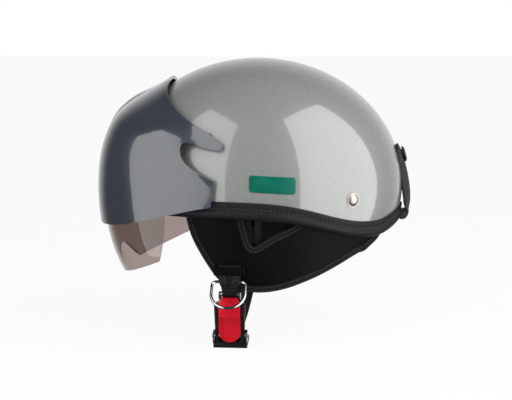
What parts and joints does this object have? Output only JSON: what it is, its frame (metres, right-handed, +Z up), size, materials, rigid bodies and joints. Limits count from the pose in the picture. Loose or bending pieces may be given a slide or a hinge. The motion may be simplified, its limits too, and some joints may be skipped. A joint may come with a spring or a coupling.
{
  "type": "half shell motorcycle helmet",
  "caption": "Open half helmet with a peak, a tinted sun lens, leather ear flaps and a buckled chin strap.",
  "frame": {"origin": "middle of the head opening, level with the widest ring of the dome", "axes": "+Z up, +Y toward the rear, +X toward the wearer's left, the helmet looks toward -Y"},
  "size_m": [0.2319, 0.2877, 0.2507],
  "materials": {
    "shell_paint": "gloss paint",
    "trim_vinyl": "satin",
    "eps_foam": "matte",
    "pad_cloth": "matte",
    "rail_plastic": "matte",
    "lens_tint": "gloss",
    "peak_plastic": "gloss",
    "screw_steel": "satin",
    "spacer_rubber": "matte",
    "rivet_nickel": "polished",
    "rivet_black": "satin",
    "washer_steel": "satin",
    "flap_leather": "satin",
    "binding_tape": "ribbed",
    "webbing": "woven",
    "keeper_leather": "satin",
    "ring_steel": "polished",
    "frame_steel": "polished",
    "bar_steel": "polished",
    "buckle_black": "satin",
    "lever_red": "gloss",
    "pin_steel": "satin",
    "spring_steel": "satin",
    "tongue_plastic": "matte",
    "goggle_leather": "satin",
    "snap_black": "satin",
    "stud_steel": "satin",
    "label_green": "gloss"
  },
  "bodies": {
    "helmet": {"outer_shell": "shell_paint", "edge_trim": "trim_vinyl", "eps_liner": "eps_foam", "comfort_crown": "pad_cloth", "comfort_band": "pad_cloth", "lens_rails": "rail_plastic", "peak": "peak_plastic", "peak_screws": "screw_steel", "peak_spacers": "spacer_rubber", "rear_rivets": "rivet_nickel", "front_rivets": "rivet_black", "rivet_washers": "washer_steel", "ear_flap_left": "flap_leather", "ear_flap_right": "flap_leather", "flap_binding_left": "binding_tape", "flap_binding_right": "binding_tape", "ear_binding_left": "binding_tape", "ear_binding_right": "binding_tape", "ear_tapes": "webbing", "front_branch_left": "webbing", "front_branch_right": "webbing", "rear_branch_left": "webbing", "rear_branch_right": "webbing", "strap_keeper_left": "keeper_leather", "strap_keeper_right": "keeper_leather", "chin_strap_left": "webbing", "chin_strap_right": "webbing", "snap_stud": "stud_steel", "strap_anchor": "goggle_leather", "side_label": "label_green"},
    "lens": {"sun_lens": "lens_tint"},
    "ring": {"d_ring": "ring_steel"},
    "buckle": {"buckle_frame": "frame_steel", "buckle_bar": "bar_steel", "buckle_cover": "buckle_black", "lever_pin": "pin_steel", "lever_spring": "spring_steel"},
    "lever": {"buckle_lever": "lever_red"},
    "tongue": {"tongue_strip": "tongue_plastic", "tongue_holder": "buckle_black"},
    "goggle": {"goggle_strap": "goggle_leather", "snap_cap": "snap_black"}
  },
  "joints": [
    {"name": "lens_tilt", "type": "hinge", "parent": "helmet", "child": "lens", "pos_m": [0, -0.002, -0.0114], "axis": [-1, 0, 0], "range_deg": [0, 26]},
    {"name": "ring_swing", "type": "hinge", "parent": "helmet", "child": "ring", "pos_m": [0.09868, -0.0145, -0.075], "axis": [0, -1, 0], "range_deg": [-6, 60]},
    {"name": "buckle_swing", "type": "hinge", "parent": "helmet", "child": "buckle", "pos_m": [0.09474, -0.0145, -0.08667], "axis": [0, -1, 0], "range_deg": [-5, 12]},
    {"name": "lever_lift", "type": "hinge", "parent": "buckle", "child": "lever", "pos_m": [0.09289, -0.0145, -0.12358], "axis": [0, 1, 0], "range_deg": [0, 10]},
    {"name": "tongue_slide", "type": "slide", "parent": "buckle", "child": "tongue", "axis": [-0.1392, 0, -0.9903], "range_m": [0, 0.034], "deforming": ["chin_strap_right"]},
    {"name": "goggle_open", "type": "hinge", "parent": "helmet", "child": "goggle", "pos_m": [0, 0.1414, -0.0225], "axis": [-1, 0, 0], "range_deg": [0, 75]}
  ]
}
